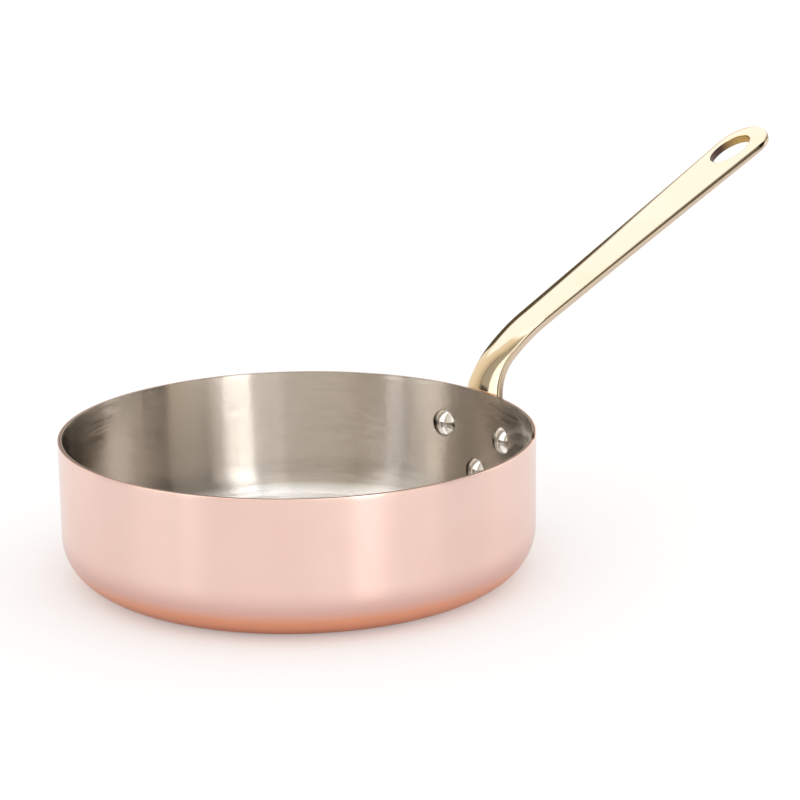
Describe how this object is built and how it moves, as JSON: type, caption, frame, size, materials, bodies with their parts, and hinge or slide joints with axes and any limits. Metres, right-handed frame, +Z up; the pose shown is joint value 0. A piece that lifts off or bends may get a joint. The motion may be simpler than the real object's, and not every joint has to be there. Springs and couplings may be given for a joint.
{
  "type": "saute pan",
  "caption": "Straight-sided copper saute pan lined with brushed steel, with a long upswept cast brass handle riveted to the wall and an oval hanging eye.",
  "frame": {"origin": "the pan's axis at the underside of its flat base", "axes": "+Z up out of the pan, +X along the handle, +Y to the left seen from the pan looking along the handle"},
  "size_m": [0.4534, 0.24, 0.1923],
  "materials": {
    "copper": "polished copper",
    "lining_steel": "brushed round the pan",
    "cast_brass": "polished",
    "rivet_steel": "polished"
  },
  "bodies": {
    "root": {"copper_body": "copper", "steel_lining": "lining_steel", "handle": "cast_brass", "rivet_upper_left": "rivet_steel", "rivet_upper_right": "rivet_steel", "rivet_lower": "rivet_steel"}
  },
  "joints": []
}
